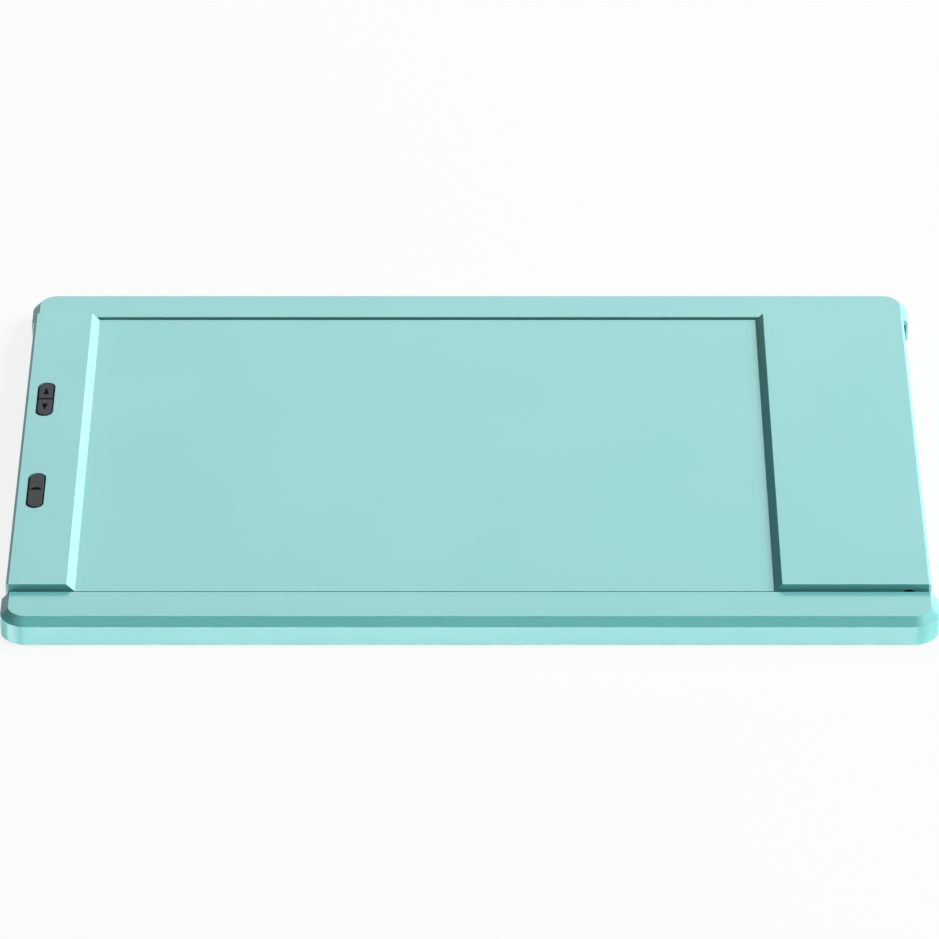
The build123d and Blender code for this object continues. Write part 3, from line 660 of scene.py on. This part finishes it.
def screwShape(shape, x, y, setup):
    steps = setup["steps"]
    head, shank, headHeight = setup["headRadius"], setup["shankRadius"], setup["headHeight"]
    root, pitch, length = shank - setup["threadDepth"], setup["threadPitch"], setup["length"]
    profile = [(head - setup["edge"], 0.0), (head, setup["edge"]), (shank, headHeight)]
    z = headHeight + pitch
    while z < length - pitch:  # ridged shank
        profile.append((root, z - pitch / 2))
        profile.append((shank, z))
        z += pitch
    profile.append((root, length - pitch / 2))
    profile.append((shank / 2, length))
    loops = []
    for radius, height in profile:
        ring = []
        for i in range(steps):
            angle = 2 * math.pi * i / steps
            px, py = x + radius * math.cos(angle), y + radius * math.sin(angle)
            ring.append(shape.verts.new((mm(px), mm(py), mm(height))))
        loops.append(ring)
    for low, high in zip(loops, loops[1:]):
        skinBetween(shape, low, high)
    shape.faces.new(loops[-1])
    arm, half = setup["crossReach"], setup["crossHalfWidth"]
    cross = [(half, half), (half, arm), (-half, arm), (-half, half), (-arm, half), (-arm, -half),
             (-half, -half), (-half, -arm), (half, -arm), (half, -half), (arm, -half), (arm, half)]
    mouth = [shape.verts.new((mm(x + px), mm(y + py), 0.0)) for px, py in cross]
    narrow = [(px * setup["crossTaper"], py * setup["crossTaper"]) for px, py in cross]
    floor = [shape.verts.new((mm(x + px), mm(y + py), mm(setup["crossDepth"]))) for px, py in narrow]
    edges = [shape.edges.new((mouth[i], mouth[(i + 1) % len(cross)])) for i in range(len(cross))]
    edges += [shape.edges.get((loops[0][i], loops[0][(i + 1) % steps])) for i in range(steps)]
    bmesh.ops.triangle_fill(shape, use_beauty=True, edges=edges)
    for i in range(len(cross)):
        j = (i + 1) % len(cross)
        shape.faces.new((mouth[i], mouth[j], floor[j], floor[i]))
    shape.faces.new(floor)


def makeBaseScrews(nodeName, side):
    shape = bmesh.new()
    for i in range(baseScrew["count"]):
        x = baseScrew["firstX"] + i * baseScrew["spacing"]
        screwShape(shape, x, side * baseScrew["rowY"], baseScrew)
    name = nodeName + "_detailed"
    putPiece(name, meshFrom(shape, name), "frame", materialOf["screw"], nodeName)


makeBaseScrews("near_base_screws", -1)
makeBaseScrews("far_base_screws", 1)
print("base screws made")

# USB-C receptacles, standard sizes in mm: drawn shell, tongue and its contacts
usbPort = {
    "rows": (-12.0, 12.0), "middleZ": 7.92, "front": 163.2, "length": 7.35, "width": 8.94,
    "height": 3.26, "wall": 0.3, "depth": 6.2, "lip": 0.08, "steps": 12,
    "tongueWidth": 6.7, "tongueHeight": 0.7, "tongueLength": 5.0, "tongueEdge": 0.08,
    "tongueEdgeRings": 2, "rootHeight": 1.4, "rootLength": 1.1,
    "contactPitch": 0.5, "contactCount": 12, "contactWidth": 0.26, "contactLength": 3.3,
    "contactProud": 0.02,
}


def stadium(shape, x, y, z, width, height, steps):
    radius = height / 2
    straight = width / 2 - radius
    ring = []
    for side in (1, -1):
        for i in range(steps + 1):
            angle = math.pi * i / steps - math.pi / 2
            py = side * (straight + radius * math.cos(angle))
            pz = side * radius * math.sin(angle)
            ring.append(shape.verts.new((mm(x), mm(y + py), mm(z + pz))))
    return ring


def boxAt(shape, x0, x1, y0, y1, z0, z1):
    corners = [shape.verts.new((mm(x), mm(y), mm(z)))
               for x in (x0, x1) for y in (y0, y1) for z in (z0, z1)]
    for ring in ((0, 1, 3, 2), (4, 6, 7, 5), (0, 4, 5, 1), (2, 3, 7, 6), (0, 2, 6, 4), (1, 5, 7, 3)):
        shape.faces.new([corners[i] for i in ring])


def makePorts(setup):
    shells, tongues, contacts = bmesh.new(), bmesh.new(), bmesh.new()
    front, back = setup["front"], setup["front"] - setup["length"]
    root = front - setup["depth"]
    z = setup["middleZ"]
    wide, tall, wall, lip = setup["width"], setup["height"], setup["wall"], setup["lip"]
    section = ((back, 0.0), (front - lip, 0.0), (front, lip), (front, wall - lip), (front - lip, wall),
               (root, wall))
    half, thin, thick = setup["tongueWidth"] / 2, setup["tongueHeight"] / 2, setup["rootHeight"] / 2
    start = root + setup["rootLength"]
    proud, slim = setup["contactProud"], setup["contactWidth"] / 2
    for y in setup["rows"]:
        rings = []
        for x, inset in section:
            rings.append(stadium(shells, x, y, z, wide - 2 * inset, tall - 2 * inset, setup["steps"]))
        for first, second in zip(rings, rings[1:]):
            skinBetween(shells, first, second)
        shells.faces.new(rings[0])
        shells.faces.new(rings[-1])
        boxAt(tongues, root, start, y - half, y + half, z - thick, z + thick)
        boxAt(tongues, root, root + setup["tongueLength"], y - half, y + half, z - thin, z + thin)
        for i in range(setup["contactCount"]):
            cy = y + (i - (setup["contactCount"] - 1) / 2) * setup["contactPitch"]
            for side in (-1, 1):
                low, high = sorted((z + side * (thin - proud), z + side * (thin + proud)))
                boxAt(contacts, start, start + setup["contactLength"], cy - slim, cy + slim, low, high)
    shellMesh = meshFrom(shells, "usb_c_shells")
    putPiece("usb_c_shells", shellMesh, "monitor", materialOf["port"], "usb_c_ports")
    tongueMesh = meshFrom(tongues, "usb_c_tongues")
    tongue = putPiece("usb_c_tongues", tongueMesh, "monitor", materialOf["chip"])
    smoothEdges(tongue, setup["tongueEdge"], setup["tongueEdgeRings"])
    putPiece("usb_c_contacts", meshFrom(contacts, "usb_c_contacts"), "monitor", gold)


makePorts(usbPort)
print("ports made")
